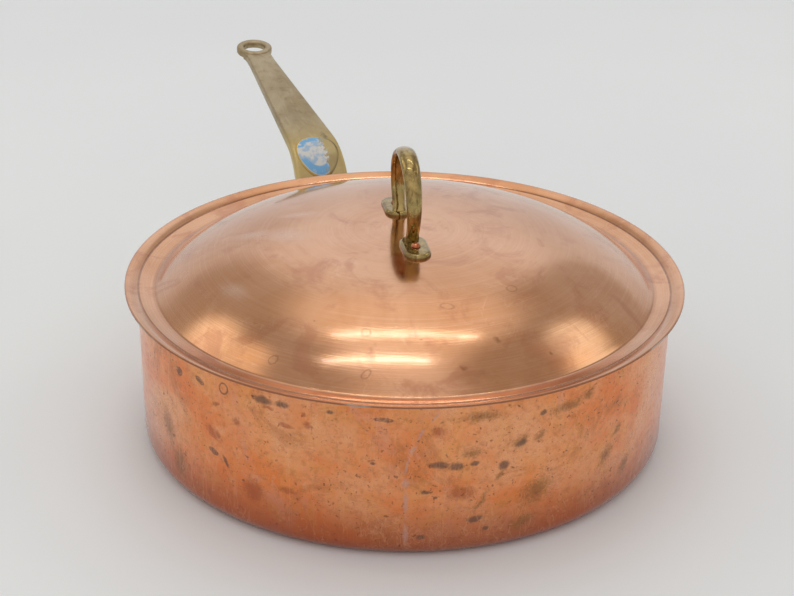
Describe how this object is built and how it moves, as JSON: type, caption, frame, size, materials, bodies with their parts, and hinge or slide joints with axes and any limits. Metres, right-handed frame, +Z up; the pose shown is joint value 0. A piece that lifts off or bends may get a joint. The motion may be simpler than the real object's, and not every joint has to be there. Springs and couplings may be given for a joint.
{
  "type": "saucepan with lid",
  "caption": "Low straight-sided copper pan with a domed lid, a riveted brass strap handle with a hanging eye and a brass loop handle on the lid.",
  "frame": {"origin": "middle of the flat base, on the surface the pan stands on", "axes": "+Z up, +X along the strap handle from the pan's middle towards its hanging eye"},
  "size_m": [0.4026, 0.251, 0.1346],
  "materials": {
    "pan_copper": "used copper, stained, finely scratched",
    "lid_copper": "copper, fine turned brushing, soft shine",
    "rivet_copper": "hammered copper",
    "handle_brass": "aged brass, satin",
    "loop_brass": "brass, handled bright on its edges",
    "lining_metal": "pale lining, lightly scoured",
    "label_paper": "worn printed paper, no lettering"
  },
  "bodies": {
    "pan": {"pan_body": "pan_copper", "pan_lining": "lining_metal", "pan_handle": "handle_brass", "pan_rivet_left": "rivet_copper", "pan_rivet_right": "rivet_copper", "pan_rivet_lower": "rivet_copper", "handle_label": "label_paper"},
    "lid": {"lid_shell": "lid_copper", "lid_lining": "lining_metal", "lid_handle": "loop_brass", "lid_rivet_front": "rivet_copper", "lid_rivet_back": "rivet_copper"}
  },
  "joints": [
    {"name": "lid_lift", "type": "slide", "parent": "pan", "child": "lid", "axis": [0, 0, 1], "range_m": [0, 0.12]}
  ]
}
